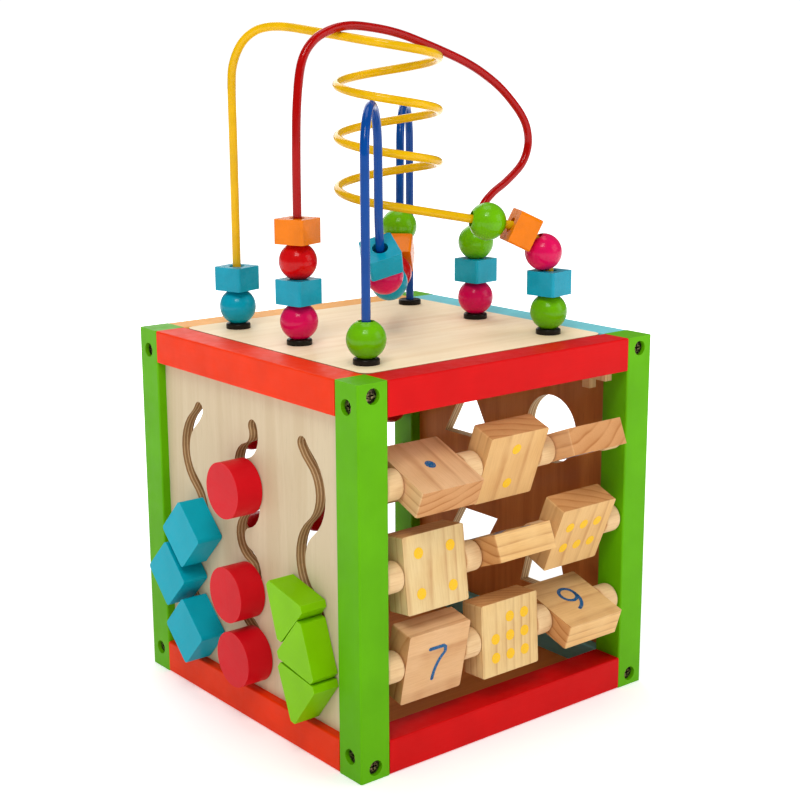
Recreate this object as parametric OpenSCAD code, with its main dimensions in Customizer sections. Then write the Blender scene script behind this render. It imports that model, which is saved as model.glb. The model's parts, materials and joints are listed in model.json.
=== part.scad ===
// Activity cube and shape sorter: a wooden frame with turning tiles, slot sliders,
// an abacus and a sorter panel, under a lift-off lid that carries a bead maze.
// +X is the sorter side, -X the slider side, -Y the tile side, +Y the abacus side.

/* [Frame] */
// Outer width, depth and height of the cube
cube_w = 200; // [200:1:204]
// Width of the square posts and rails
post_w = 18; // [17:0.5:18]
// Thickness of the slot panel and of the sorter panel
panel_t = 6.5; // [4:0.5:7]
// Thickness of the floor board
floor_t = 5; // [3:0.5:6]
// Thickness of the lid board
lid_t = 9; // [8:0.5:10]
// Diameter of the wooden dowels for the tiles and the abacus
dowel_d = 8; // [6:0.5:8]

/* [Tiles] */
// Width and height of a turning tile
tile_w = 39.4; // [36:0.2:39.4]
// Thickness of a turning tile
tile_t = 14.3; // [12:0.1:14.3]
// Diameter of the spacer beads between the tiles
spacer_d = 16; // [12:0.5:18]

/* [Sliders] */
// Width of the slots in the slot panel
slot_w = 8; // [6.8:0.2:8.4]
// Thickness of the sliding blocks
slider_t = 15; // [10:1:20]
// Diameter of the red discs
disc_d = 30; // [24:1:30]
// Side of the blue squares
square_w = 27; // [22:1:27]
// Side of the green triangles, before their tips are cut
triangle_w = 35; // [28:1:35]

/* [Abacus] */
// Diameter of an abacus ball
abacus_ball_d = 20.8; // [16:0.2:20.8]

/* [Bead maze] */
// Diameter of the maze wires
wire_d = 4.6; // [4:0.2:5]
// Diameter of the round maze beads
ball_d = 20; // [18:0.5:20]
// Width of the square maze beads
bead_w = 18; // [16:0.5:18]
// Thickness of the square maze beads along the wire
bead_t = 13; // [11:0.5:13]

/* [Hidden] */
$fn = 64;

// Frame
half = cube_w / 2;
inner = half - post_w;
bar_c = half - post_w / 2;
edge_r = 1;
groove = 4;
panel_face = half - 5;
panel_back = panel_face - panel_t;
dowel_l = 2 * (inner + 8);
snug = 0.1;

// Frame screws: heights from the nearer end of the post, on the Y faces and the X faces
screw_near_end = 6.4;
screw_far_end = 11.8;
screw_d = 3.6;
screw_l = 34.6;
screw_head_d = 7.4;
screw_head_h = 2.4;
counterbore_d = 8;
counterbore_h = 4.6;
cross_w = 1;
cross_l = 4.4;
cross_h = 1.4;

// Tiles and spacers
tile_row_z = [146, 99, 52];
tile_angle = [68, -20, 112, 7, 112, -22, -12, 3, 72];
tile_r = 1.2;
spacer_l = 11.2;
spacer_r = 2;
tile_gap = 0.125;
tile_pitch = tile_w + spacer_l + 2 * tile_gap;
loose_bore = dowel_d + 0.8;

// Slots: half the distance between bends, swing from the middle line, height of the first bend
wide_mid = 54;
wide_half = 17.75;
wide_swing = 9;
wide_z = 137;
tight_mid = 2.5;
tight_half = 9.5;
tight_swing = 7.5;
tight_z = 138;
slot_top = 161.3;
slot_bottom = 37.1;
straight_z = wide_z - 4 * wide_half;

// Sliding blocks: height of each peg, turn of each block
slider_gap = 0.5;
peg_d = 5.4;
cap_d = 13;
cap_h = 3;
blue_z = [93.7, 66.8, 38];
blue_turn = [44, 45, 43];
red_z = [128.5, 71.5, 37.1];
green_z = [83.75, 60, 38];
green_turn = [42, 100, 38];
green_shift = [[3.8, -5.4], [1.7, -0.7], [3.3, 0]];
tip_cut = 3.5;
square_r = 2;

// Abacus rows, from the bottom one up, and the side each row is parked on
abacus_z = [40, 70, 100, 130, 160];
abacus_side = [-1, -1, -1, 1, -1];
abacus_count = 6;
abacus_pitch = 21;
abacus_flat = 0.94;

// Lid
lid_gap = 0.3;
lid_r = 6;
lid_z = cube_w - lid_t;
foot_z = lid_z + 2;
foot_bore = wire_d + 0.4;
ferrule_d = 13.5;
ferrule_h = 3;
rest_w = 5;
rest_depth = 10.5;
rest_drop = 21.5;
rest_reach = 6.6;
rest_foot_l = 5.5;
rest_foot_h = 5.7;

// Beads
bore_d = 8.4;
ball_h = 0.915 * ball_d;
bead_r = 1.5;
touch = 0.1;
stack_z = cube_w + ferrule_h + touch;
ball_step = ball_h + touch;
block_step = bead_t + touch;
ball_1_z = stack_z + ball_h / 2;
block_1_z = stack_z + ball_step + bead_t / 2;
ball_2_z = stack_z + ball_step + block_step + ball_h / 2;
block_2_z = stack_z + 2 * ball_step + block_step + bead_t / 2;

// Wire feet on the lid
yellow_left = [-59.5, 61.5];
yellow_right = [59.5, -62];
red_left = [-61.5, 0];
red_right = [62, 0];
blue_near = [-66, -63];
blue_far = [65, 63];

// Yellow wire: bend points in the plane of the left leg, coil, bend above the right foot
coil_c = [-0.8, 0.7];
coil_r = 27;
coil_in = 206;
coil_out = 1323;
coil_top = 355;
coil_bottom = 270;
coil_step = 13;
yellow_rise = [
    [0, foot_z], [0, 260], [0, 300], [0, 332], [1.6, 344], [7, 354], [15, 360],
    [24, 362.2], [35, 362], [50, 359.8], [66, 357.3]
];
bend_r = 28;
bend_z = 232;
bend_sink = 0.5;

// Red wire, in the plane y = 0
red_path = [
    [-61.5, foot_z], [-61.5, 230], [-61.5, 265], [-61.3, 300], [-60.2, 325], [-57, 344],
    [-50, 354.3], [-39, 360.1], [-26, 362.4], [-9, 361.2], [7, 358.4], [24, 353.5], [41, 348],
    [55, 342.8], [67, 337], [79, 329.6], [88.6, 321.6], [96.4, 313.4], [100.7, 305.6],
    [101.7, 296], [97, 286], [85.5, 277], [75, 271], [68, 265], [64, 257], [62.2, 246],
    [62, 232], [62, foot_z]
];

// Blue wire, in the plane of its two feet
blue_s = 91;
near_arch_r = 23;
near_arch_z = 301;
dip_r = 44;
dip_z = 271;
far_arch_r = 22.5;
far_arch_z = 297.5;

// Bead places on the bend, as angles above level, and in the dip, as angles from its lowest point
bend_pink_a = 27;
bend_orange_a = 64;
bend_green_run = 11.5;
dip_teal_a = [-54, -5.5];
dip_teal_spin = -27;
dip_pink_a = -31.5;
dip_red_a = 20.5;
dip_orange_a = 43;
dip_green_a = 65.5;

// ---- Helpers ----

function unit(v) = v / norm(v);

// Offset from the middle line of a waving slot at height z
function wave_r(h, swing) = (h * h + swing * swing) / (2 * swing);
function wave_side(k) = k % 2 == 0 ? 1 : -1;
function wave_y(z, z0, h, swing) =
    let (k = round((z0 - z) / (2 * h)), r = wave_r(h, swing), d = z - (z0 - 2 * h * k))
    wave_side(k) * (swing - r + sqrt(r * r - d * d));

function wide_y(z) = wide_mid + wave_y(z, wide_z, wide_half, wide_swing);
function tight_y(z) = tight_mid + wave_y(z, tight_z, tight_half, tight_swing);
function green_y(z) = z < straight_z ? -(wide_mid + wide_swing) : -wide_y(z);

// A smooth curve through points
function curve_point(a, b, c, d, t) =
    0.5 * (2 * b + (c - a) * t + (2 * a - 5 * b + 4 * c - d) * t * t
           + (3 * b - a - 3 * c + d) * t * t * t);
function curve(p, steps) = [
    for (i = [0 : len(p) - 2], k = [0 : steps - 1])
        curve_point(p[max(i - 1, 0)], p[i], p[i + 1], p[min(i + 2, len(p) - 1)], k / steps)
];
function arc(c, r, a0, a1, steps) = [
    for (i = [0 : steps]) let (a = a0 + (a1 - a0) * i / steps) [c[0] + r * cos(a), c[1] + r * sin(a)]
];
// Points of an upright plane through a foot, turned to a heading
function upright(p, foot, heading) = [
    for (q = p) [foot[0] + q[0] * cos(heading), foot[1] + q[0] * sin(heading), q[1]]
];
function on_circle(c, r, a) = [c[0] + r * cos(a), c[1] + r * sin(a)];
function heading(a, b) = atan2(b[1] - a[1], b[0] - a[0]);

module rounded_square(w, h, r) {
    square([w - 2 * r, h], center = true);
    square([w, h - 2 * r], center = true);
    for (x = [-1, 1], y = [-1, 1])
        translate([x * (w / 2 - r), y * (h / 2 - r)]) circle(r);
}

// A ball with flat ends and a bore along Z
module round_bead(d, h, bore) {
    difference() {
        intersection() {
            sphere(d = d);
            cylinder(d = d + 2, h = h, center = true);
        }
        cylinder(d = bore, h = d + 2, center = true);
    }
}

// Local x and y become Y and Z, local z becomes X
module facing_x() {
    rotate([90, 0, 90]) children();
}

// A round wire along a list of points
module tube(path, d) {
    sides = 8;
    n = len(path);
    t = [for (i = [0 : n - 1]) unit(path[min(i + 1, n - 1)] - path[max(i - 1, 0)])];
    normals = [
        for (i = 0, v = [0.6, 0.8, 0]; i < n; i = i + 1, v = i < n ? unit(v - (v * t[i]) * t[i]) : v) v
    ];
    points = [
        for (i = [0 : n - 1], k = [0 : sides - 1])
            let (a = 360 * k / sides, b = cross(t[i], normals[i]))
                path[i] + d / 2 * (cos(a) * normals[i] + sin(a) * b)
    ];
    walls = [
        for (i = [0 : n - 2], k = [0 : sides - 1], half_quad = [0, 1])
            let (l = (k + 1) % sides, a = i * sides, b = a + sides)
                half_quad == 0 ? [a + k, b + k, b + l] : [a + k, b + l, a + l]
    ];
    foot_cap = [for (k = [0 : sides - 1]) k];
    end_cap = [for (k = [sides - 1 : -1 : 0]) (n - 1) * sides + k];
    polyhedron(points = points, faces = concat(walls, [foot_cap, end_cap]));
}

// ---- Frame ----

module panel_blank(side) {
    translate([side > 0 ? panel_back : -panel_face, -inner - groove, post_w - groove])
        cube([panel_t, 2 * (inner + groove), cube_w - 2 * post_w + 2 * groove]);
}

module floor_blank() {
    translate([-inner - groove, -inner - groove, 0])
        cube([2 * (inner + groove), 2 * (inner + groove), floor_t]);
}

module at_screws() {
    for (face = [0 : 3])
        rotate([0, 0, 90 * face])
            for (x = [-1, 1], z = [0, 1])
                translate([x * bar_c, -half, screw_height(face, z)]) rotate([-90, 0, 0]) children();
}

function screw_height(face, top) =
    let (h = face % 2 == 0 ? screw_near_end : screw_far_end) top == 1 ? cube_w - h : h;

module screw_bores() {
    at_screws() {
        translate([0, 0, -1]) cylinder(d = counterbore_d, h = counterbore_h + 1);
        cylinder(d = screw_d + snug, h = counterbore_h + screw_l);
    }
}

module at_dowels() {
    for (z = tile_row_z)
        translate([0, -bar_c, z]) rotate([0, 90, 0]) children();
    for (z = abacus_z)
        translate([0, bar_c, z]) rotate([0, 90, 0]) children();
}

module post(x_side, y_side) {
    difference() {
        translate([x_side * bar_c, y_side * bar_c, 0])
            linear_extrude(cube_w) rounded_square(post_w, post_w, edge_r);
        panel_blank(x_side);
        floor_blank();
        screw_bores();
        at_dowels() cylinder(d = dowel_d + snug, h = dowel_l, center = true);
    }
}

module front_posts() {
    color("limegreen") {
        post(-1, -1);
        post(1, -1);
    }
}

module rear_posts() {
    color("limegreen") {
        post(-1, 1);
        post(1, 1);
    }
}

// The top and bottom rail of one face: face 0 is -Y, then +X, +Y, -X
module rail_pair(face) {
    difference() {
        rotate([0, 0, 90 * face])
            for (z = [post_w / 2, cube_w - post_w / 2])
                translate([0, -bar_c, z]) rotate([0, 90, 0])
                    linear_extrude(2 * inner, center = true) rounded_square(post_w, post_w, edge_r);
        if (face % 2 == 1) panel_blank(face == 1 ? 1 : -1);
        floor_blank();
        screw_bores();
    }
}

module red_rails() {
    color("red") rail_pair(0);
}

module blue_rails() {
    color("skyblue") rail_pair(1);
}

module peach_rails() {
    color("sandybrown") rail_pair(2);
}

module orange_rails() {
    color("orangered") rail_pair(3);
}

module floor_board() {
    color("saddlebrown") floor_blank();
}

module frame_screws() {
    color("silver") at_screws() translate([0, 0, counterbore_h - screw_head_h])
        difference() {
            union() {
                cylinder(d = screw_head_d, h = screw_head_h);
                cylinder(d = screw_d, h = screw_head_h + screw_l - 1);
            }
            for (a = [0, 90])
                rotate([0, 0, a]) cube([cross_l, cross_w, 2 * cross_h], center = true);
        }
}

module cross_dowels() {
    color("burlywood") at_dowels() cylinder(d = dowel_d, h = dowel_l, center = true);
}

// ---- Slot panel ----

// Middle line of a waving slot, from its top end down, bend by bend
function wave_path(mid, z0, h, swing, last, low) =
    let (r = wave_r(h, swing), reach = asin(h / r), steps = 10)
    [
        for (k = [-1 : last], i = [0 : steps - 1])
            let (a = reach * (1 - 2 * i / steps), z = z0 - 2 * h * k + r * sin(a))
                if (z > low + 0.5 && z < slot_top - 0.5)
                    [mid + wave_side(k) * (swing - r + r * cos(a)), z]
    ];
// Round outline of a slot around its middle line
function slot_outline(path) =
    let (
        n = len(path), w = slot_w / 2, steps = 10,
        turn = [for (i = [0 : n - 1]) heading(path[max(i - 1, 0)], path[min(i + 1, n - 1)])]
    )
    concat(
        [for (i = [n - 1 : -1 : 1]) on_circle(path[i], w, turn[i] + 90)],
        [for (i = [0 : steps]) on_circle(path[0], w, turn[0] + 90 + 180 * i / steps)],
        [for (i = [1 : n - 1]) on_circle(path[i], w, turn[i] - 90)],
        [for (i = [1 : steps - 1]) on_circle(path[n - 1], w, turn[n - 1] - 90 + 180 * i / steps)]
    );

wide_path = concat(
    [[wide_y(slot_top), slot_top]],
    wave_path(wide_mid, wide_z, wide_half, wide_swing, 3, blue_z[2]),
    [[wide_y(blue_z[2]), blue_z[2]]]
);
tight_path = concat(
    [[tight_y(slot_top), slot_top]],
    wave_path(tight_mid, tight_z, tight_half, tight_swing, 5, slot_bottom),
    [[tight_y(slot_bottom), slot_bottom]]
);
green_path = concat(
    [[wide_y(slot_top), slot_top]],
    wave_path(wide_mid, wide_z, wide_half, wide_swing, 2, straight_z),
    [[wide_mid + wide_swing, straight_z], [wide_mid + wide_swing, green_z[2]]]
);

module slot_panel() {
    color("wheat") difference() {
        panel_blank(-1);
        translate([-panel_face - 1, 0, 0]) facing_x() {
            linear_extrude(panel_t + 2) polygon(slot_outline(wide_path));
            linear_extrude(panel_t + 2) polygon(slot_outline(tight_path));
            linear_extrude(panel_t + 2) mirror([1, 0]) polygon(slot_outline(green_path));
        }
    }
}

// ---- Sorter panel ----

triangle_hole = [[14, 118.5], [57, 118.5], [35.5, 155.7]];
slanted_hole = [[8, 72], [42, 72], [60, 42], [26, 42]];
tapered_hole = [[-52, 39], [-13, 39], [-22, 72], [-43, 72]];
round_hole = [-36.5, 137];
round_hole_d = 40;

module sorter_panel() {
    color("saddlebrown") difference() {
        panel_blank(1);
        translate([panel_back - 1, 0, 0]) facing_x() {
            linear_extrude(panel_t + 2) polygon(triangle_hole);
            linear_extrude(panel_t + 2) polygon(slanted_hole);
            linear_extrude(panel_t + 2) polygon(tapered_hole);
            translate(round_hole) cylinder(d = round_hole_d, h = panel_t + 2);
        }
    }
}

// ---- Tiles ----

module spacer_beads() {
    core = spacer_d / 2;
    color("burlywood")
        for (z = tile_row_z, x = [-1.5 : 1.5])
            translate([x * tile_pitch, -bar_c, z]) rotate([0, 90, 0]) difference() {
                rotate_extrude() {
                    translate([0, -spacer_l / 2]) square([core - spacer_r, spacer_l]);
                    translate([0, -spacer_l / 2 + spacer_r]) square([core, spacer_l - 2 * spacer_r]);
                    for (y = [-1, 1])
                        translate([core - spacer_r, y * (spacer_l / 2 - spacer_r)]) circle(spacer_r);
                }
                cylinder(d = dowel_d + snug, h = spacer_l + 2, center = true);
            }
}

module tile(number) {
    column = (number - 1) % 3;
    row = floor((number - 1) / 3);
    color("burlywood")
        translate([(column - 1) * tile_pitch, -bar_c, tile_row_z[row]])
            rotate([-tile_angle[number - 1], 0, 0]) difference() {
                rotate([90, 0, 0])
                    linear_extrude(tile_t, center = true) rounded_square(tile_w, tile_w, tile_r);
                rotate([0, 90, 0]) cylinder(d = loose_bore, h = tile_w + 2, center = true);
            }
}

// ---- Sliding blocks ----

// A block on the slot face at its peg, with the peg and the cap that keeps it in the slot
module slider(y, z) {
    translate([-panel_face - slider_gap, y, z]) facing_x() {
        translate([0, 0, -slider_t]) linear_extrude(slider_t) children();
        translate([0, 0, -1]) cylinder(d = peg_d, h = 1 + panel_t + 2 * slider_gap + 0.1);
        translate([0, 0, panel_t + 2 * slider_gap]) cylinder(d = cap_d, h = cap_h);
    }
}

module blue_slider(i) {
    color("darkturquoise") slider(wide_y(blue_z[i]), blue_z[i])
        rotate(blue_turn[i]) rounded_square(square_w, square_w, square_r);
}

module red_slider(i) {
    color("crimson") slider(tight_y(red_z[i]), red_z[i]) circle(d = disc_d);
}

module green_slider(i) {
    reach = triangle_w / sqrt(3);
    corners = [for (k = [0 : 2]) let (a = green_turn[i] + 120 * k) reach * [cos(a), sin(a)]];
    color("yellowgreen") slider(green_y(green_z[i]), green_z[i])
        translate(green_shift[i])
            polygon([
                for (k = [0 : 2], side = [-1, 1])
                    corners[k] + tip_cut * unit(corners[(k + side + 3) % 3] - corners[k])
            ]);
}

// ---- Abacus ----

module abacus_row(number) {
    side = abacus_side[number - 1];
    first = inner - abacus_pitch / 2;
    color("red")
        for (i = [0 : abacus_count - 1])
            translate([side * (first - abacus_pitch * i), bar_c, abacus_z[number - 1]])
                rotate([0, 90, 0]) round_bead(abacus_ball_d, abacus_flat * abacus_ball_d, loose_bore);
}

// ---- Lid ----

module at_feet() {
    for (p = [yellow_left, yellow_right, red_left, red_right, blue_near, blue_far])
        translate([p[0], p[1], 0]) children();
}

module lid_board() {
    width = 2 * (inner - lid_gap);
    color("wheat") difference() {
        translate([0, 0, lid_z]) linear_extrude(lid_t) rounded_square(width, width, lid_r);
        at_feet() translate([0, 0, foot_z]) cylinder(d = foot_bore, h = lid_t);
    }
}

// A hook-shaped block at each end of the Y rails: the lid lies on its upper end
module lid_rests() {
    hook_z = lid_z - rest_drop + rest_foot_h;
    color("burlywood")
        for (x = [-1, 1], y = [-1, 1])
            scale([x, y, 1]) translate([-inner, -inner, hook_z]) {
                cube([rest_w, rest_depth, lid_z - hook_z]);
                translate([0, -rest_reach, 0]) cube([rest_w, rest_reach + 1, cube_w - post_w - hook_z]);
                translate([0, rest_depth - rest_foot_l, -rest_foot_h])
                    cube([rest_w, rest_foot_l, rest_foot_h + 1]);
            }
}

module wire_ferrules() {
    round_r = 1;
    wall = (ferrule_d - foot_bore) / 2;
    color("black") at_feet() translate([0, 0, cube_w]) rotate_extrude() translate([foot_bore / 2, 0]) {
        square([wall - round_r, ferrule_h]);
        square([wall, ferrule_h - round_r]);
        translate([wall - round_r, ferrule_h - round_r]) circle(round_r);
    }
}

// ---- Wires ----

coil_start = on_circle(coil_c, coil_r, coil_in);
coil_end = on_circle(coil_c, coil_r, coil_out);
rise_heading = heading(yellow_left, coil_start);
fall_heading = heading(coil_end, yellow_right);
fall_run = norm(yellow_right - coil_end);
bend_c = fall_run - bend_r;
// Where the straight run from the coil meets the bend above the right foot
bend_in = atan2(coil_bottom - bend_z, -bend_c) - acos(bend_r / norm([bend_c, coil_bottom - bend_z]));

module yellow_wire() {
    turns = (coil_out - coil_in) / coil_step;
    coil = [
        for (i = [0 : floor(turns)])
            let (a = coil_in + (coil_out - coil_in) * i / floor(turns), p = on_circle(coil_c, coil_r, a))
                [p[0], p[1], coil_top + (coil_bottom - coil_top) * i / floor(turns)]
    ];
    rise = upright(curve(concat(yellow_rise, [[norm(coil_start - yellow_left), coil_top]]), 2),
                   yellow_left, rise_heading);
    fall = upright(concat(arc([bend_c, bend_z], bend_r, bend_in, 0, 10), [[fall_run, foot_z]]),
                   coil_end, fall_heading);
    color("gold") tube(concat(rise, coil, fall), wire_d);
}

module red_wire() {
    path = concat(curve(red_path, 3), [red_path[len(red_path) - 1]]);
    color("darkred") tube(upright(path, [0, 0], 0), wire_d);
}

module blue_wire() {
    near = arc([near_arch_r - blue_s, near_arch_z], near_arch_r, 180, 0, 16);
    dip = arc([0, dip_z], dip_r, 180, 360, 24);
    far = arc([blue_s - far_arch_r, far_arch_z], far_arch_r, 180, 0, 16);
    path = concat([[-blue_s, foot_z]], near, dip, far, [[blue_s, foot_z]]);
    middle = (blue_near + blue_far) / 2;
    color("mediumblue") tube(upright(path, middle, heading(blue_near, blue_far)), wire_d);
}

// ---- Beads ----

module ball() {
    round_bead(ball_d, ball_h, bore_d);
}

module block() {
    difference() {
        linear_extrude(bead_t, center = true) rounded_square(bead_w, bead_w, bead_r);
        cylinder(d = bore_d, h = bead_t + 2, center = true);
    }
}

module on_leg(foot, z, turn) {
    translate([foot[0], foot[1], z]) rotate([0, 0, turn]) children();
}

module on_bend(angle) {
    centre = coil_end + bend_c * [cos(fall_heading), sin(fall_heading)];
    translate([centre[0], centre[1], bend_z]) rotate([0, 0, fall_heading]) rotate([0, -angle, 0])
        translate([bend_r - bend_sink, 0, 0]) children();
}

// On the straight run, at a distance before the bend
module on_fall(run) {
    centre = coil_end + bend_c * [cos(fall_heading), sin(fall_heading)];
    translate([centre[0], centre[1], bend_z]) rotate([0, 0, fall_heading]) rotate([0, -bend_in, 0])
        translate([bend_r, 0, run]) children();
}

module in_dip(angle) {
    middle = (blue_near + blue_far) / 2;
    translate([middle[0], middle[1], dip_z]) rotate([0, 0, heading(blue_near, blue_far)])
        rotate([0, 90 - angle, 0]) translate([dip_r - bend_sink / 2, 0, 0]) children();
}

module pink() {
    color("deeppink") children();
}

module teal() {
    color("darkcyan") children();
}

module red() {
    color("red") children();
}

module orange() {
    color("orange") children();
}

module green() {
    color("limegreen") children();
}

module yellow_left_beads() {
    teal() {
        on_leg(yellow_left, ball_1_z, 0) ball();
        on_leg(yellow_left, block_1_z, 17) block();
    }
}

module dip_teal_beads() {
    teal() {
        in_dip(dip_teal_a[0]) rotate([0, 0, dip_teal_spin]) block();
        in_dip(dip_teal_a[1]) ball();
    }
}

// ---- Nodes ----

front_posts();
rear_posts();
orange_rails();
red_rails();
blue_rails();
peach_rails();
floor_board();
slot_panel();
sorter_panel();
frame_screws();
cross_dowels();
spacer_beads();
abacus_row(1);  // abacus_row_1
abacus_row(2);  // abacus_row_2
abacus_row(3);  // abacus_row_3
abacus_row(4);  // abacus_row_4
abacus_row(5);  // abacus_row_5
tile(1);  // tile_1
tile(2);  // tile_2
tile(3);  // tile_3
tile(4);  // tile_4
tile(5);  // tile_5
tile(6);  // tile_6
tile(7);  // tile_7
tile(8);  // tile_8
tile(9);  // tile_9
blue_slider(0);  // blue_slider_top
blue_slider(1);  // blue_slider_middle
blue_slider(2);  // blue_slider_bottom
red_slider(0);  // red_slider_top
red_slider(1);  // red_slider_middle
red_slider(2);  // red_slider_bottom
green_slider(0);  // green_slider_top
green_slider(1);  // green_slider_middle
green_slider(2);  // green_slider_bottom
lid_board();
lid_rests();
wire_ferrules();
yellow_wire();
red_wire();
blue_wire();
yellow_left_beads();
pink() on_leg(red_left, ball_1_z, 0) ball();  // red_left_pink_ball
teal() on_leg(red_left, block_1_z, 12) block();  // red_left_teal_block
red() on_leg(red_left, ball_2_z, 0) ball();  // red_left_red_ball
orange() on_leg(red_left, block_2_z, 20) block();  // red_left_orange_block
pink() on_leg(red_right, ball_1_z, 0) ball();  // red_right_pink_ball
teal() on_leg(red_right, block_1_z, 6) block();  // red_right_teal_block
green() on_leg(red_right, ball_2_z, 0) ball();  // red_right_green_ball
green() on_leg(blue_near, ball_1_z, 0) ball();  // blue_foot_green_ball
green() on_leg(yellow_right, ball_1_z, 0) ball();  // yellow_right_green_ball
teal() on_leg(yellow_right, block_1_z, 10) block();  // yellow_right_teal_block
pink() on_bend(bend_pink_a) ball();  // bend_pink_ball
orange() on_bend(bend_orange_a) block();  // bend_orange_block
green() on_fall(bend_green_run) ball();  // bend_green_ball
dip_teal_beads();
pink() in_dip(dip_pink_a) ball();  // dip_pink_ball
red() in_dip(dip_red_a) ball();  // dip_red_ball
orange() in_dip(dip_orange_a) block();  // dip_orange_block
green() in_dip(dip_green_a) ball();  // dip_green_ball
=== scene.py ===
"""The look of the activity cube: painted and bare wood, enamelled wires and printed tiles."""

import json
import math

import bmesh
import bpy
from mathutils import Matrix, Vector


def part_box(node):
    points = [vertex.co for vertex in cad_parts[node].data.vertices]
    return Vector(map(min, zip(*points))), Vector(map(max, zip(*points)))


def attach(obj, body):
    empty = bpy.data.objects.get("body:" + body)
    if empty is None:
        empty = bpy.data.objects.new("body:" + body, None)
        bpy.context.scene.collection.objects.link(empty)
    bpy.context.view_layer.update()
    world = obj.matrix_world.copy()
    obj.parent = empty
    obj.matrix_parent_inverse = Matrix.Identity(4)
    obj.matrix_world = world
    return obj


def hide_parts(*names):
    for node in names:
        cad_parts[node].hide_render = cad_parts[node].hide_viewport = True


MM = 0.001
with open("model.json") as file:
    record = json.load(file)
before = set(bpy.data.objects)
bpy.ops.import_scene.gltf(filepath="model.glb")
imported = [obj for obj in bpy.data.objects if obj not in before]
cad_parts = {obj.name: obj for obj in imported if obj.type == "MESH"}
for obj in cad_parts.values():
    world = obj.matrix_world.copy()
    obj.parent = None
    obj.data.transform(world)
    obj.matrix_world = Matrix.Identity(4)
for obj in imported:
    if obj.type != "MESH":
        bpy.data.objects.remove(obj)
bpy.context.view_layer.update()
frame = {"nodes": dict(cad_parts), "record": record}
nodes = frame["nodes"]

# ---------------------------------------------------------------- colours (sRGB, 0 to 255)

GREEN_PAINT = (94, 172, 0)
ORANGE_PAINT = (234, 52, 0)
RED_PAINT = (206, 6, 8)
BLUE_PAINT = (120, 203, 213)
PEACH_PAINT = (240, 170, 88)
TEAL_PAINT = (0, 166, 188)
LEAF_PAINT = (130, 197, 0)
DISC_PAINT = (210, 14, 28)
BEAD_TEAL = (0, 152, 178)
BEAD_PINK = (208, 8, 82)
BEAD_RED = (196, 4, 8)
BEAD_ORANGE = (228, 120, 0)
BEAD_GREEN = (100, 172, 0)
WIRE_YELLOW = (220, 172, 4)
WIRE_RED = (162, 2, 0)
WIRE_BLUE = (0, 64, 140)
BIRCH_LIGHT = (210, 193, 162)
BIRCH_DARK = (200, 180, 147)
# The lid's veneer: the panels' birch made paler for the light falling on the top face, which is
# painted light
LID_LIT_PALE = (250, 230, 198)
LID_LIT_DARK = (239, 214, 176)
PLY_PALE = (206, 176, 132)
PLY_DARK = (158, 122, 82)
BROWN_LIGHT = (214, 142, 72)
BROWN_DARK = (190, 120, 58)
PINE_PALE = (224, 191, 140)
PINE_RING = (166, 104, 56)
PINE_END = (192, 134, 82)
REST_PALE = (240, 208, 156)
DOWEL_PALE = (230, 198, 150)
SPACER_PALE = (228, 196, 150)
PRINT_YELLOW = (236, 186, 36)
PRINT_BLUE = (0, 88, 140)
ABACUS_RED = (196, 14, 22)
ZINC = (150, 140, 110)
# Painted shade: this dark tone stands for the shade in the screws' deep counterbores
ZINC_PAINTED_SHADE = (38, 32, 24)
ZINC_WORN = (150, 134, 96)
FERRULE = (22, 18, 14)
FERRULE_DEEP = (14, 12, 10)
FERRULE_WORN = (38, 32, 26)
PAPER = (250, 250, 250)


def linear(colour):
    """An sRGB colour as linear RGBA."""
    values = [c / 255 for c in colour]
    return [v / 12.92 if v <= 0.04045 else ((v + 0.055) / 1.055) ** 2.4 for v in values] + [1.0]


def shade(rgba, factor, lift=0.0):
    """A linear colour made deeper or paler."""
    return [min(1, c * factor + lift) for c in rgba[:3]] + [1]


# ---------------------------------------------------------------- camera, light and floor

CAMERA_PLACE = (-508.9, -636.4, 349.3)  # mm
CAMERA_YAW = 38.98  # degrees from +Y towards +X
CAMERA_PITCH = 13.03  # degrees down
CAMERA_ROLL = -0.004  # radians
CAMERA_LENS, CAMERA_SENSOR = 67.76, 36  # mm
WORLD_LIGHT = 0.46
# What the world's light changes by for the camera's own rays and for reflections
RAY_CHANGES = {"Is Camera Ray": 0.60, "Is Glossy Ray": -0.30}
LIGHT_TARGET = (0, 0, 0.16)  # m
# Place and size in m, power in W, colour
LIGHTS = {
    "key": ((-0.7, -0.7, 1.35), 0.6, 9.5, (1, 0.985, 0.96)),
    "side": ((0.8, -1.1, 0.7), 0.8, 4.2, (1, 0.99, 0.98)),
    "glint": ((-0.8, -0.55, 1.1), 0.07, 0.7, (1, 1, 1)),
    "top": ((0.1, 0.2, 1.6), 0.8, 5.0, (1, 1, 1)),
    "back": ((0.4, 1.2, 0.9), 0.9, 6.0, (1, 1, 1)),
}
FLOOR_REACH = 12.0  # m
FLOOR_GAP = 0.0002  # m
# Half the distance from the centre in m, and how strongly the floor shines there
FLOOR_GLOW = ((0.10, 0.25), (0.42, 1.0))


def make_camera():
    yaw, pitch, roll = math.radians(CAMERA_YAW), math.radians(CAMERA_PITCH), CAMERA_ROLL
    level = math.cos(pitch)
    ahead = Vector((math.sin(yaw) * level, math.cos(yaw) * level, -math.sin(pitch)))
    side = Vector((math.cos(yaw), -math.sin(yaw), 0))
    above = side.cross(ahead)
    right = side * math.cos(roll) + above * math.sin(roll)
    up = -side * math.sin(roll) + above * math.cos(roll)
    turn = Matrix((right, up, -ahead)).transposed().to_4x4()
    camera = bpy.data.objects.new("camera", bpy.data.cameras.new("camera"))
    bpy.context.scene.collection.objects.link(camera)
    camera.matrix_world = Matrix.Translation(Vector(CAMERA_PLACE) * MM) @ turn
    camera.data.lens = CAMERA_LENS
    camera.data.sensor_width = CAMERA_SENSOR
    bpy.context.scene.camera = camera


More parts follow.
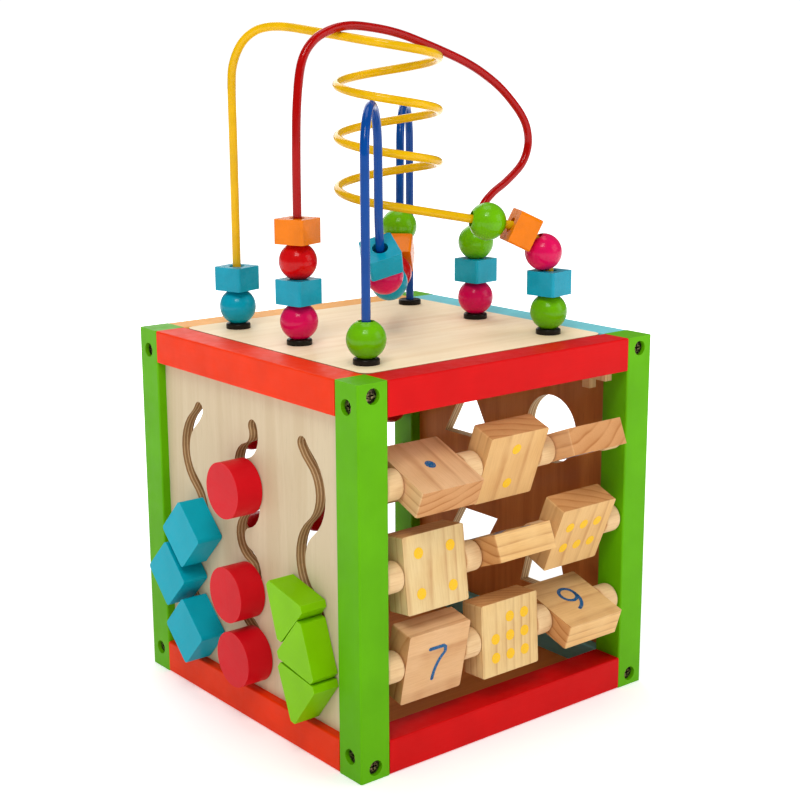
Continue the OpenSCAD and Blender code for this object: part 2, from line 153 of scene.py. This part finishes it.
def area_light(name, place, size, power, colour):
    data = bpy.data.lights.new(name, "AREA")
    data.size = size
    data.energy = power
    data.color = colour
    light = bpy.data.objects.new(name, data)
    light.location = place
    way = Vector(LIGHT_TARGET) - Vector(place)
    light.rotation_euler = way.to_track_quat("-Z", "Y").to_euler()
    bpy.context.scene.collection.objects.link(light)


def make_light():
    world = bpy.data.worlds.new("studio")
    world.use_nodes = True
    tree = world.node_tree
    background = tree.nodes["Background"]
    background.inputs["Color"].default_value = (1, 1, 1, 1)
    path = tree.nodes.new("ShaderNodeLightPath")
    strength = None
    for ray, change in RAY_CHANGES.items():
        step = tree.nodes.new("ShaderNodeMath")
        step.operation = "MULTIPLY_ADD"
        tree.links.new(path.outputs[ray], step.inputs[0])
        step.inputs[1].default_value = change
        if strength is None:
            step.inputs[2].default_value = WORLD_LIGHT
        else:
            tree.links.new(strength, step.inputs[2])
        strength = step.outputs[0]
    tree.links.new(strength, background.inputs["Strength"])
    bpy.context.scene.world = world
    for name, settings in LIGHTS.items():
        area_light(name, *settings)


def make_floor():
    """White paper that shines more with distance, so that it fades into the background."""
    mesh = bpy.data.meshes.new("floor")
    far = FLOOR_REACH
    corners = [(-far, -far, 0), (far, -far, 0), (far, far, 0), (-far, far, 0)]
    mesh.from_pydata(corners, [], [(0, 1, 2, 3)])
    floor = bpy.data.objects.new("floor", mesh)
    floor.location.z = -FLOOR_GAP
    bpy.context.scene.collection.objects.link(floor)
    paper = Shader("paper", PAPER, 0.8)
    paper.base(linear(PAPER))
    away = paper.add("ShaderNodeVectorMath", {"operation": "LENGTH"})
    paper.put(away.inputs[0], paper.place)
    glow = paper.ramp(paper.math("MULTIPLY", away.outputs["Value"], 0.5), *FLOOR_GLOW)
    paper.put(paper.shader.inputs["Emission Strength"], glow)
    paper.shader.inputs["Emission Color"].default_value = (1, 1, 1, 1)
    floor.data.materials.append(paper.material)


# ---------------------------------------------------------------- shader building blocks

SPECULAR = 0.08
COAT_ROUGHNESS = 0.08


class Shader:
    """A principled material whose colour, roughness and bump are built from nodes."""

    def __init__(self, name, colour, roughness, coat=0.0, metallic=0.0):
        self.material = bpy.data.materials.new(name)
        self.material.use_nodes = True
        self.material.diffuse_color = linear(colour)
        self.tree = self.material.node_tree
        self.shader = self.tree.nodes["Principled BSDF"]
        self.shader.inputs["Roughness"].default_value = roughness
        self.shader.inputs["Coat Weight"].default_value = coat
        self.shader.inputs["Coat Roughness"].default_value = COAT_ROUGHNESS
        self.shader.inputs["Specular IOR Level"].default_value = SPECULAR
        self.shader.inputs["Metallic"].default_value = metallic
        self.relief = None
        source = self.add("ShaderNodeTexCoord")
        self.place, self.normal = source.outputs["Object"], source.outputs["Normal"]

    def add(self, kind, settings=None, **inputs):
        node = self.tree.nodes.new(kind)
        for key, value in (settings or {}).items():
            setattr(node, key, value)
        for key, value in inputs.items():
            self.put(node.inputs[key.replace("_", " ")], value)
        return node

    def put(self, socket, value):
        if isinstance(value, bpy.types.NodeSocket):
            self.tree.links.new(value, socket)
        else:
            socket.default_value = value

    def base(self, value):
        self.put(self.shader.inputs["Base Color"], value)

    def local(self, centre, turn):
        """Coordinates of a piece that was built upright and then turned about its centre."""
        self.place = self.turned_back(self.place, centre, turn)
        self.normal = self.turned_back(self.normal, (0, 0, 0), turn)

    def turned_back(self, vector, centre, turn):
        mapping = self.add("ShaderNodeMapping", {"vector_type": "TEXTURE"}, Vector=vector)
        mapping.inputs["Location"].default_value = centre
        mapping.inputs["Rotation"].default_value = turn
        return mapping.outputs[0]

    def scaled(self, scale, shift=(0, 0, 0)):
        mapping = self.add("ShaderNodeMapping", Vector=self.place)
        mapping.inputs["Scale"].default_value = scale
        mapping.inputs["Location"].default_value = shift
        return mapping.outputs[0]

    def noise(self, vector, scale, detail=3.0, roughness=0.55, distortion=0.0):
        node = self.add("ShaderNodeTexNoise", Vector=vector, Scale=scale, Detail=detail)
        node.inputs["Roughness"].default_value = roughness
        node.inputs["Distortion"].default_value = distortion
        return node.outputs[0]

    def ramp(self, factor, *stops):
        """Colour or grey stops as (position, RGBA or number) along a factor."""
        node = self.add("ShaderNodeValToRGB", Fac=factor)
        elements = node.color_ramp.elements
        while len(elements) < len(stops):
            elements.new(0.5)
        for element, (position, value) in zip(elements, stops):
            element.position = position
            element.color = value if hasattr(value, "__len__") else (value, value, value, 1)
        return node.outputs[0]

    def mix(self, factor, a, b):
        node = self.add("ShaderNodeMix", {"data_type": "RGBA"})
        # A Mix node's sockets share their names, so its colour sockets go by number
        self.put(node.inputs[0], factor)
        self.put(node.inputs[6], a)
        self.put(node.inputs[7], b)
        return node.outputs[2]

    def tint(self, tone, colour, mask, amount):
        """A tone moved towards a colour where a mask is bright, by at most an amount."""
        return self.mix(self.math("MULTIPLY", mask, amount), tone, colour)

    def math(self, operation, a, b=0.0):
        node = self.add("ShaderNodeMath", {"operation": operation})
        self.put(node.inputs[0], a)
        self.put(node.inputs[1], b)
        return node.outputs[0]

    def part(self, vector, axis):
        return self.add("ShaderNodeSeparateXYZ", Vector=vector).outputs["XYZ".index(axis)]

    def along(self, axis):
        """How far the surface faces along an axis of the piece, from 0 to 1."""
        return self.math("ABSOLUTE", self.part(self.normal, axis))

    def bump(self, height, strength, distance):
        """Relief on top of what is already there."""
        node = self.add("ShaderNodeBump", Height=height, Strength=strength, Distance=distance)
        if self.relief is not None:
            self.put(node.inputs["Normal"], self.relief)
        self.relief = node.outputs[0]
        self.put(self.shader.inputs["Normal"], self.relief)

    def edges(self, radius_mm, low, high):
        """A mask that rises towards the piece's sharp edges."""
        soft = self.add("ShaderNodeBevel", {"samples": 4}, Radius=radius_mm * MM).outputs[0]
        true = self.add("ShaderNodeNewGeometry").outputs["Normal"]
        dot = self.add("ShaderNodeVectorMath", {"operation": "DOT_PRODUCT"})
        self.put(dot.inputs[0], soft)
        self.put(dot.inputs[1], true)
        return self.ramp(dot.outputs["Value"], (low, 1.0), (high, 0.0))


FIBRE_STRETCH = 0.06
RING_STRETCH = 0.16
WAVE_PERIOD = 0.314  # what a wave texture of scale 1 repeats at


def drawn_out(axis, amount):
    """A scale that draws a pattern out along one axis."""
    return [amount if a == axis else 1 for a in "XYZ"]


def painted_wood(name, colour, grain, roughness=0.42, coat=0.0, centre=(0, 0, 0), turn=(0, 0, 0)):
    """Thin satin paint: the grain shows through faintly, and edges are rubbed paler."""
    s = Shader(name, colour, roughness, coat)
    s.local(centre, turn)
    main = linear(colour)
    deep, pale = shade(main, 0.86), shade(main, 1.14, 0.008)
    lines = s.noise(s.scaled(drawn_out(grain, FIBRE_STRETCH)), 900, 4, 0.6)
    cloud = s.noise(s.place, 42, 3, 0.5)
    tone = s.mix(s.ramp(cloud, (0.3, 0.0), (0.7, 1.0)), deep, main)
    tone = s.tint(tone, deep, s.ramp(lines, (0.42, 1.0), (0.62, 0.0)), 0.22)
    s.base(s.tint(tone, pale, s.edges(1.2, 0.86, 0.995), 0.35))
    rough = s.ramp(s.noise(s.place, 160, 4), (0.3, roughness - 0.06), (0.7, roughness + 0.10))
    s.put(s.shader.inputs["Roughness"], rough)
    s.bump(lines, 0.20, 0.0003)
    s.bump(s.noise(s.place, 1500, 2), 0.06, 0.0002)
    return s.material


def bead_paint(name, colour, seed):
    """Dipped gloss paint on a small turned bead, a little uneven, thinner at the rims."""
    s = Shader(name, colour, 0.26, 0.22)
    main = linear(colour)
    deep, pale = shade(main, 0.86), shade(main, 1.2, 0.02)
    shifted = s.scaled((1, 1, 1), (seed * 0.37, seed * 0.21, seed * 0.11))
    cloud = s.noise(shifted, 95, 3, 0.5)
    tone = s.mix(s.ramp(cloud, (0.32, 0.0), (0.62, 1.0)), deep, main)
    s.base(s.tint(tone, pale, s.edges(0.9, 0.84, 0.995), 0.4))
    rough = s.ramp(s.noise(shifted, 260, 3), (0.3, 0.20), (0.7, 0.34))
    s.put(s.shader.inputs["Roughness"], rough)
    s.bump(s.noise(shifted, 330, 3), 0.10, 0.0004)
    return s.material


def enamel(name, colour):
    """Glossy enamel on a bent wire, with a slight orange peel and a few rubbed spots."""
    s = Shader(name, colour, 0.20, 0.25)
    main = linear(colour)
    s.base(s.mix(s.ramp(s.noise(s.place, 60, 3), (0.35, 0.0), (0.6, 1.0)), shade(main, 0.88), main))
    rough = s.ramp(s.noise(s.place, 340, 4), (0.35, 0.12), (0.75, 0.30))
    s.put(s.shader.inputs["Roughness"], rough)
    s.bump(s.noise(s.place, 900, 2), 0.12, 0.0002)
    return s.material


def pine(
    name, grain, ring_mm, offset, centre=(0, 0, 0), turn=(0, 0, 0), pale=PINE_PALE, figure=0.50,
):
    """Bare sanded pine: faint growth rings on its faces and dark arcs on its ends.

    The rings run about an axis along the grain, offset in mm from the centre of the piece.
    """
    s = Shader(name, pale, 0.58, 0.0)
    s.local(centre, turn)
    light, ring = linear(pale), linear(PINE_RING)
    wave = s.add(
        "ShaderNodeTexWave",
        {"wave_type": "RINGS", "rings_direction": grain, "wave_profile": "SAW"},
        Vector=s.scaled(drawn_out(grain, RING_STRETCH), [v * MM for v in offset]),
        Scale=WAVE_PERIOD / (ring_mm * MM),
        Distortion=4.5,
        Detail=2.0,
    )
    wave.inputs["Detail Scale"].default_value = 0.5
    rings = s.ramp(wave.outputs[1], (0.12, 0.0), (0.70, 0.30), (0.90, 1.0), (1.0, 0.1))
    fade = s.ramp(s.noise(s.place, 48, 2), (0.36, 0.35), (0.62, 1.0))
    rings = s.math("MULTIPLY", rings, fade)
    fibre = s.noise(s.scaled(drawn_out(grain, FIBRE_STRETCH)), 1500, 4, 0.65)
    cloud = s.noise(s.place, 55, 3)
    ends = s.ramp(s.along(grain), (0.55, 0.0), (0.85, 1.0))
    warm = [c * f for c, f in zip(light[:3], (0.92, 0.82, 0.68))] + [1]
    tone = s.tint(light, warm, s.ramp(cloud, (0.35, 0.0), (0.7, 1.0)), 0.5)
    tone = s.tint(tone, linear(PINE_END), ends, 0.72)
    strength = s.math("ADD", s.math("MULTIPLY", ends, 0.4), figure)
    tone = s.tint(tone, ring, rings, strength)
    s.base(s.tint(tone, ring, s.ramp(fibre, (0.35, 1.0), (0.55, 0.0)), 0.16))
    s.bump(rings, 0.10, 0.0003)
    s.bump(fibre, 0.22, 0.0002)
    return s.material


def veneer(s, grain, light, dark, seed):
    """Quiet rotary-cut veneer: long faint figure, fine pores and a few darker flecks."""
    vector = s.scaled(drawn_out(grain, FIBRE_STRETCH), (seed, seed * 0.7, seed * 0.4))
    figure = s.noise(vector, 70, 5, 0.6, 1.2)
    pores = s.noise(vector, 1400, 3, 0.6)
    tone = s.mix(s.ramp(figure, (0.34, 0.0), (0.66, 1.0)), linear(dark), linear(light))
    tone = s.tint(tone, shade(linear(dark), 0.78), s.ramp(pores, (0.30, 1.0), (0.42, 0.0)), 0.35)
    s.bump(pores, 0.12, 0.0002)
    return tone


def plywood(name, axis, grain, brown_side=0, layer_mm=1.0, light=BIRCH_LIGHT, dark=BIRCH_DARK):
    """Plywood: veneer on the faces along an axis, and layers on the cut edges.

    brown_side is 1 or -1 where the face on that side of the axis is brown inside the cube.
    """
    s = Shader(name, BIRCH_LIGHT, 0.5, 0.06)
    face = veneer(s, grain, light, dark, 1.3)
    if brown_side:
        inward = s.math("MULTIPLY", s.part(s.normal, axis), brown_side)
        back = veneer(s, grain, BROWN_LIGHT, BROWN_DARK, 4.1)
        face = s.mix(s.ramp(inward, (0.4, 0.0), (0.6, 1.0)), face, back)
    depth = s.part(s.place, axis)
    wobble = s.math("MULTIPLY", s.noise(s.place, 90, 2), 0.0003)
    turns = s.math("MULTIPLY", s.math("ADD", depth, wobble), math.pi / (layer_mm * MM))
    layer = s.ramp(s.math("SINE", turns), (0.35, 0.0), (0.65, 1.0))
    cut = s.mix(layer, linear(PLY_DARK), linear(PLY_PALE))
    edge = s.ramp(s.along(axis), (0.5, 1.0), (0.75, 0.0))
    s.base(s.mix(edge, face, cut))
    return s.material


def brown_board(name, grain):
    """Stained board, with the same quiet veneer as the panels' backs."""
    s = Shader(name, BROWN_LIGHT, 0.62, 0.0)
    s.base(veneer(s, grain, BROWN_LIGHT, BROWN_DARK, 2.2))
    return s.material


def plated_screw(name):
    """Zinc with worn, brassy high spots, elsewhere darkened by painted shade for its deep
    counterbore.
    """
    s = Shader(name, ZINC, 0.34, 0.0, 0.9)
    worn = linear(ZINC_WORN)
    spots = s.ramp(s.noise(s.place, 700, 4), (0.50, 0.0), (0.66, 1.0))
    # Patches of painted shade for the deep counterbore, between worn high spots
    tone = s.mix(spots, linear(ZINC_PAINTED_SHADE), worn)
    s.base(s.mix(s.edges(0.6, 0.8, 0.99), tone, worn))
    s.bump(s.noise(s.place, 1800, 3), 0.2, 0.0002)
    return s.material


def black_plastic(name):
    """Moulded black plastic, a little dusty."""
    s = Shader(name, FERRULE, 0.32, 0.1)
    s.base(s.mix(s.noise(s.place, 400, 3), linear(FERRULE_DEEP), linear(FERRULE_WORN)))
    s.bump(s.noise(s.place, 1300, 2), 0.12, 0.0002)
    return s.material


def print_ink(name, colour):
    """Screen-printed ink that lets a little of the wood through."""
    s = Shader(name, colour, 0.42, 0.0)
    thin = [c * 0.8 + w * 0.2 for c, w in zip(linear(colour)[:3], linear(PINE_PALE)[:3])] + [1]
    speckle = s.noise(s.place, 1600, 4)
    s.base(s.mix(s.ramp(speckle, (0.36, 1.0), (0.5, 0.0)), linear(colour), thin))
    s.bump(speckle, 0.15, 0.0001)
    return s.material


# ---------------------------------------------------------------- pieces

SHARP = 40  # degrees between faces from which an edge is rounded


def dress(name, material, bevel_mm=0.0, segments=3):
    """A CAD node keeps its shape: it gets a material, and a bevel where its edges are rounded."""
    piece = nodes[name]
    piece.data.materials.clear()
    piece.data.materials.append(material)
    if bevel_mm:
        bevel = piece.modifiers.new("rounded_edges", "BEVEL")
        bevel.width = bevel_mm * MM
        bevel.segments = segments
        bevel.limit_method = "ANGLE"
        bevel.angle_limit = math.radians(SHARP)
        bevel.harden_normals = True
        bevel.use_clamp_overlap = True


def link(name, data, body, material):
    """A new piece that rides on a body."""
    piece = bpy.data.objects.new(name, data)
    bpy.context.scene.collection.objects.link(piece)
    piece.data.materials.append(material)
    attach(piece, body)
    return piece


def bow(cx, cy, rx, ry, start, end, steps=14):
    """Points along part of an ellipse, in degrees."""
    turns = [math.radians(start + (end - start) * i / steps) for i in range(steps + 1)]
    return [(cx + rx * math.cos(t), cy + ry * math.sin(t)) for t in turns]


def middle(name):
    """The centre of a CAD node's box."""
    low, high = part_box(name)
    return (Vector(low) + Vector(high)) / 2


# ---- Frame and panels

RAILS = {
    "orange_rails": (ORANGE_PAINT, "Y"),
    "red_rails": (RED_PAINT, "X"),
    "blue_rails": (BLUE_PAINT, "Y"),
    "peach_rails": (PEACH_PAINT, "X"),
}


def dress_frame():
    green = painted_wood("green_posts", GREEN_PAINT, "Z")
    for name in ("front_posts", "rear_posts"):
        dress(name, green, 0.5)
    for name, (colour, grain) in RAILS.items():
        dress(name, painted_wood(name + "_paint", colour, grain), 0.5)
    dress("slot_panel", plywood("slot_birch", "X", "Z", brown_side=1), 0.25, 2)
    dress("sorter_panel", plywood("sorter_board", "X", "Z", brown_side=-1), 0.25, 2)
    dress("floor_board", brown_board("floor_brown", "X"))
    # The lid's paler birch is painted light for the top face
    lid = plywood("lid_birch_painted_light", "Z", "X", layer_mm=1.5, light=LID_LIT_PALE, dark=LID_LIT_DARK)
    dress("lid_board", lid, 0.8)
    dress("lid_rests", pine("rest_pine", "Z", 3.0, (40, 25, 0), pale=REST_PALE), 0.5)
    dress("frame_screws", plated_screw("screw_zinc"), 0.2, 2)
    dowel = pine("dowel_pine", "X", 4.0, (0, 60, 20), pale=DOWEL_PALE, figure=0.2)
    dress("cross_dowels", dowel, 0.4)
    spacer = pine("spacer_pine", "X", 4.0, (0, 20, 46), pale=SPACER_PALE, figure=0.18)
    dress("spacer_beads", spacer)


def dress_abacus():
    red = bead_paint("abacus_red", ABACUS_RED, 2)
    for row in range(1, 6):
        dress(f"abacus_row_{row}", red, 0.4)


# ---- Tiles, with dots on one side and a numeral on the other

# Sizes in mm; the tiles' own are as in part.scad
TILE_WIDTH = 39.4
TILE_DEPTH = 14.3
DOT = 5.8
NUMERAL_WIDTH = 10
NUMERAL_HALF_HEIGHT = 9
STROKE = 2.0
INK = 0.12  # thickness
GRAIN_ACROSS = (5, 7, 9)
# Turn at rest in degrees, as in part.scad, and the wood's pale tone
TILES = {
    1: (68, (224, 182, 136)),
    2: (-20, (222, 180, 122)),
    3: (112, (220, 174, 126)),
    4: (7, (222, 196, 144)),
    5: (112, (228, 188, 128)),
    6: (-22, (224, 184, 126)),
    7: (-12, (222, 180, 134)),
    8: (3, (226, 196, 140)),
    9: (72, (230, 190, 132)),
}
# Places of the dots across and up a tile, as parts of its width
GRID = (0.24, 0.5, 0.76)
LOW, MID, HIGH = GRID
DOTS = {
    1: [(MID, MID)],
    2: [(MID, HIGH), (MID, LOW)],
    3: [(LOW, HIGH), (MID, MID), (HIGH, LOW)],
    4: [(u, v) for u in (LOW, HIGH) for v in (LOW, HIGH)],
    5: [(u, v) for u in (LOW, HIGH) for v in (LOW, HIGH)] + [(MID, MID)],
    6: [(u, v) for u in GRID for v in (0.34, 0.68)],
    7: [(u, v) for u in (LOW, HIGH) for v in GRID] + [(MID, MID)],
    8: [(u, v) for u in GRID for v in GRID if (u, v) != (LOW, HIGH)],
    9: [(u, v) for u in GRID for v in GRID],
}
# Strokes of each numeral in a box 1 wide and 2 high
NUMERALS = {
    1: [[(0.2, 1.55), (0.6, 2.0), (0.6, 0.0)]],
    2: [bow(0.5, 1.5, 0.48, 0.5, 160, -35) + [(0.0, 0.0), (1.0, 0.0)]],
    3: [bow(0.45, 1.5, 0.45, 0.5, 150, -80), bow(0.45, 0.5, 0.52, 0.5, 85, -150)],
    4: [[(0.75, 0.0), (0.75, 2.0), (0.0, 0.6), (1.0, 0.6)]],
    5: [[(0.9, 2.0), (0.15, 2.0), (0.08, 1.1)] + bow(0.45, 0.62, 0.52, 0.62, 125, -150)],
    6: [bow(0.5, 0.58, 0.5, 0.58, 180, -180, 24), bow(1.25, 0.75, 1.25, 1.3, 180, 115)],
    7: [[(0.0, 2.0), (1.0, 2.0)] + bow(1.75, -0.2, 1.35, 2.1, 122, 175)],
    8: [bow(0.5, 1.5, 0.42, 0.48, 0, 360, 24), bow(0.5, 0.52, 0.5, 0.52, 0, 360, 24)],
    9: [bow(0.5, 1.42, 0.5, 0.58, 0, 360, 24), bow(-0.25, 1.25, 1.25, 1.3, 0, -65)],
}
NUMERAL_FACES_FRONT = (7, 9)


def add_disc(mesh, u, v, radius, steps=28):
    turns = [2 * math.pi * i / steps for i in range(steps)]
    add_plate(mesh, [(u + radius * math.cos(t), v + radius * math.sin(t)) for t in turns])


def add_plate(mesh, outline):
    """A thin plate of ink with the given outline, standing on the face."""
    under = [mesh.verts.new((x * MM, 0, y * MM)) for x, y in outline]
    over = [mesh.verts.new((x * MM, -INK * MM, y * MM)) for x, y in outline]
    mesh.faces.new(over)
    mesh.faces.new(under[::-1])
    for i in range(len(outline)):
        j = (i + 1) % len(outline)
        mesh.faces.new((under[i], under[j], over[j], over[i]))


def add_stroke(mesh, points, width):
    """Ink along a line: one plate with rounded ends."""
    half = width / 2
    left, right = [], []
    for i, (x, y) in enumerate(points):
        before, after = points[max(i - 1, 0)], points[min(i + 1, len(points) - 1)]
        way = Vector((after[0] - before[0], after[1] - before[1])).normalized()
        left.append((x - way.y * half, y + way.x * half))
        right.append((x + way.y * half, y - way.x * half))
    add_plate(mesh, right + left[::-1])
    for x, y in (points[0], points[-1]):
        add_disc(mesh, x, y, half, 16)


def smooth_corners(points, cut=0.12):
    """The same line with its sharp corners cut, so that its stroke keeps an even width."""
    line = [points[0]]
    for before, here, after in zip(points, points[1:], points[2:]):
        a, b, c = Vector(before), Vector(here), Vector(after)
        if (b - a).length > 2 * cut and (c - b).length > 2 * cut:
            line += [tuple(b + (a - b).normalized() * cut), tuple(b + (c - b).normalized() * cut)]
        else:
            line.append(here)
    return line + [points[-1]]


def print_on_tile(number, degrees, numeral, front, material):
    """The numeral or the dots of a tile, on its front or its back."""
    tile = f"tile_{number}"
    mesh = bmesh.new()
    if numeral:
        for stroke in NUMERALS[number]:
            line = [
                ((x - 0.5) * NUMERAL_WIDTH, (y - 1) * NUMERAL_HALF_HEIGHT)
                for x, y in smooth_corners(stroke)
            ]
            add_stroke(mesh, line, STROKE)
    else:
        for u, v in DOTS[number]:
            add_disc(mesh, (u - 0.5) * TILE_WIDTH, (v - 0.5) * TILE_WIDTH, DOT / 2)
    data = bpy.data.meshes.new(tile + ("_numeral" if numeral else "_dots"))
    mesh.to_mesh(data)
    mesh.free()
    face = Matrix.Translation((0, -TILE_DEPTH / 2 * MM, 0))
    side = Matrix.Identity(4) if front else Matrix.Rotation(math.pi, 4, "Z")
    turn = Matrix.Rotation(math.radians(-degrees), 4, "X")
    data.transform(Matrix.Translation(middle(tile)) @ turn @ side @ face)
    link(data.name, data, tile, material)


def dress_tiles():
    yellow = print_ink("yellow_ink", PRINT_YELLOW)
    blue = print_ink("blue_ink", PRINT_BLUE)
    for number, (degrees, pale) in TILES.items():
        grain = "X" if number in GRAIN_ACROSS else "Z"
        turn = (math.radians(-degrees), 0, 0)
        # Each tile is cut from another place in another plank
        ring = 4.4 + (number * 5 % 4) * 0.6
        offset = (22 + number * 3, 52 + (number * 7 % 5) * 6, 18 + (number * 5 % 7) * 5)
        name = f"tile_{number}"
        wood = pine(name + "_pine", grain, ring, offset, middle(name), turn, pale)
        dress(name, wood, 1.0)
        ink = blue if number % 2 else yellow
        numeral_front = number in NUMERAL_FACES_FRONT
        print_on_tile(number, degrees, True, numeral_front, ink)
        print_on_tile(number, degrees, False, not numeral_front, ink)


# ---- Sliding blocks

# Paint, grain, and turns at rest in degrees from the top down. A disc's turn is only its grain's
SLIDERS = {
    "blue": (TEAL_PAINT, "Z", (44, 45, 43)),
    "red": (DISC_PAINT, "Y", (10, 80, 35)),
    "green": (LEAF_PAINT, "Z", (42, 100, 38)),
}


def dress_sliders():
    for colour, (paint, grain, turns) in SLIDERS.items():
        for place, degrees in zip(("top", "middle", "bottom"), turns):
            name = f"{colour}_slider_{place}"
            turn = (math.radians(degrees), 0, 0)
            look = painted_wood(name + "_paint", paint, grain, 0.38, 0.04, middle(name), turn)
            dress(name, look, 1.1, 4)


# ---- Wires, on the routes that their CAD nodes follow


def arc(cx, cy, radius, start, end, steps):
    return bow(cx, cy, radius, radius, start, end, steps)


def smooth_line(points, steps):
    """A smooth curve through points, as the CAD wire is built."""
    last = len(points) - 1
    line = []
    for i in range(last):
        a, b, c, d = (Vector(points[j]) for j in (max(i - 1, 0), i, i + 1, min(i + 2, last)))
        for k in range(steps):
            t = k / steps
            square = (2 * a - 5 * b + 4 * c - d) * t * t
            cube = (3 * b - a - 3 * c + d) * t ** 3
            line.append(tuple(0.5 * (2 * b + (c - a) * t + square + cube)))
    return line + [tuple(points[-1])]


def upright(line, foot, way):
    """Points of an upright plane through a foot, turned to a heading in radians."""
    return [(foot[0] + s * math.cos(way), foot[1] + s * math.sin(way), z) for s, z in line]


def heading(a, b):
    return math.atan2(b[1] - a[1], b[0] - a[0])


# All in mm, and the same as in part.scad
FOOT_Z = 193
WIRE = 4.6
YELLOW_LEFT, YELLOW_RIGHT = (-59.5, 61.5), (59.5, -62)
BLUE_NEAR, BLUE_FAR = (-66, -63), (65, 63)
BLUE_REACH = 91
NEAR_R, NEAR_Z = 23, 301
DIP_R, DIP_Z = 44, 271
FAR_R, FAR_Z = 22.5, 297.5
COIL_C, COIL_R = (-0.8, 0.7), 27
COIL_IN, COIL_OUT = 206, 1323  # degrees
COIL_TOP, COIL_BOTTOM = 355, 270
BEND_R, BEND_Z = 28, 232
# Distance from the left foot, and height
YELLOW_RISE = [
    (0, FOOT_Z), (0, 260), (0, 300), (0, 332), (1.6, 344), (7, 354), (15, 360),
    (24, 362.2), (35, 362), (50, 359.8), (66, 357.3),
]
# X and height, in the plane of the middle
RED_ROUTE = [
    (-61.5, FOOT_Z), (-61.5, 230), (-61.5, 265), (-61.3, 300), (-60.2, 325), (-57, 344),
    (-50, 354.3), (-39, 360.1), (-26, 362.4), (-9, 361.2), (7, 358.4), (24, 353.5), (41, 348),
    (55, 342.8), (67, 337), (79, 329.6), (88.6, 321.6), (96.4, 313.4), (100.7, 305.6),
    (101.7, 296), (97, 286), (85.5, 277), (75, 271), (68, 265), (64, 257), (62.2, 246),
    (62, 232), (62, FOOT_Z),
]
COIL_STEPS = 280  # finer than the CAD wire


def on_coil(turn):
    angle = math.radians(turn)
    return (COIL_C[0] + COIL_R * math.cos(angle), COIL_C[1] + COIL_R * math.sin(angle))


def yellow_route():
    """Up from the left foot, down through the coil, and over the bend to the right foot."""
    start, end = on_coil(COIL_IN), on_coil(COIL_OUT)
    coil = []
    for i in range(COIL_STEPS + 1):
        x, y = on_coil(COIL_IN + (COIL_OUT - COIL_IN) * i / COIL_STEPS)
        coil.append((x, y, COIL_TOP + (COIL_BOTTOM - COIL_TOP) * i / COIL_STEPS))
    run_in = math.dist(start, YELLOW_LEFT)
    rise = smooth_line(YELLOW_RISE + [(run_in, COIL_TOP)], 6)[:-1]
    run_out = math.dist(YELLOW_RIGHT, end)
    bend_c = run_out - BEND_R
    drop = COIL_BOTTOM - BEND_Z
    bend_in = math.atan2(drop, -bend_c) - math.acos(BEND_R / math.hypot(bend_c, drop))
    fall = arc(bend_c, BEND_Z, BEND_R, math.degrees(bend_in), 0, 30) + [(run_out, FOOT_Z)]
    return (
        upright(rise, YELLOW_LEFT, heading(YELLOW_LEFT, start))
        + coil
        + upright(fall, end, heading(end, YELLOW_RIGHT))
    )


def red_route():
    return upright(smooth_line(RED_ROUTE, 8), (0, 0), 0)


def blue_route():
    """Over the near arch, through the dip and over the far arch."""
    line = (
        [(-BLUE_REACH, FOOT_Z)]
        + arc(NEAR_R - BLUE_REACH, NEAR_Z, NEAR_R, 180, 0, 40)
        + arc(0, DIP_Z, DIP_R, 180, 360, 60)
        + arc(BLUE_REACH - FAR_R, FAR_Z, FAR_R, 180, 0, 40)
        + [(BLUE_REACH, FOOT_Z)]
    )
    centre = [(a + b) / 2 for a, b in zip(BLUE_NEAR, BLUE_FAR)]
    return upright(line, centre, heading(BLUE_NEAR, BLUE_FAR))


def make_wire(name, route, colour):
    """A smoother wire in the place of its CAD node."""
    curve = bpy.data.curves.new(name + "_bent", "CURVE")
    curve.dimensions = "3D"
    curve.bevel_depth = WIRE / 2 * MM
    curve.bevel_resolution = 7
    curve.use_fill_caps = True
    spline = curve.splines.new("POLY")
    spline.points.add(len(route) - 1)
    for point, place in zip(spline.points, route):
        point.co = (place[0] * MM, place[1] * MM, place[2] * MM, 1)
    spline.use_smooth = True
    piece = link(name + "_bent", curve, "lid", enamel(name + "_enamel", colour))
    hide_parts(name)


def make_wires():
    make_wire("yellow_wire", yellow_route(), WIRE_YELLOW)
    make_wire("red_wire", red_route(), WIRE_RED)
    make_wire("blue_wire", blue_route(), WIRE_BLUE)
    dress("wire_ferrules", black_plastic("ferrule_black"))


# ---- Maze beads

BEAD_PAINTS = {
    "teal": BEAD_TEAL,
    "pink": BEAD_PINK,
    "red": BEAD_RED,
    "orange": BEAD_ORANGE,
    "green": BEAD_GREEN,
}
SINGLE_BEADS = ("red_left", "red_right", "blue_foot", "yellow_right", "bend_", "dip_")


def dress_beads():
    slots = {part["node"]: part["material_slot"] for part in frame["record"]["subparts"]}
    singles = [name for name in sorted(nodes) if name.startswith(SINGLE_BEADS)]
    for seed, name in enumerate(["yellow_left_beads"] + singles):
        colour = BEAD_PAINTS[slots[name].split("_")[0]]
        square = name.endswith(("block", "beads"))
        dress(name, bead_paint(name + "_paint", colour, seed), 0.9 if square else 0.4)


# ---------------------------------------------------------------- build

make_camera()
make_light()
make_floor()
dress_frame()
dress_abacus()
dress_tiles()
dress_sliders()
make_wires()
dress_beads()

scene = bpy.context.scene
scene.view_settings.view_transform = "Standard"
scene.view_settings.exposure = 0.0
